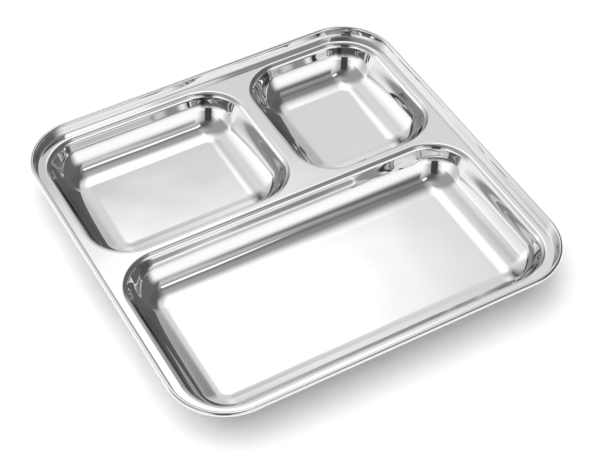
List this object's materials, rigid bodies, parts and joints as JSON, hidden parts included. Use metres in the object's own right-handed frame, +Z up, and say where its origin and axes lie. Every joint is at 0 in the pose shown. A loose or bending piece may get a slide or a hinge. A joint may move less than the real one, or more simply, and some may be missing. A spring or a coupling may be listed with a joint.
{
  "type": "divided compartment plate",
  "caption": "Square mirror-polished steel plate with a raised rolled rim and separate sloping wells that keep foods apart.",
  "frame": {"origin": "on the table, under the middle of the plate's square outline", "axes": "+Z up out of the wells, -Y towards the large well, +X from the medium well towards the small well"},
  "size_m": [0.23, 0.23, 0.0252],
  "materials": {
    "polished_steel": "bright mirror polish on pressed stainless steel"
  },
  "bodies": {
    "root": {"rolled_edge": "polished_steel", "rim_wall": "polished_steel", "deck": "polished_steel", "large_well_wall": "polished_steel", "large_well_floor": "polished_steel", "medium_well_wall": "polished_steel", "medium_well_floor": "polished_steel", "small_well_wall": "polished_steel", "small_well_floor": "polished_steel"}
  },
  "joints": []
}
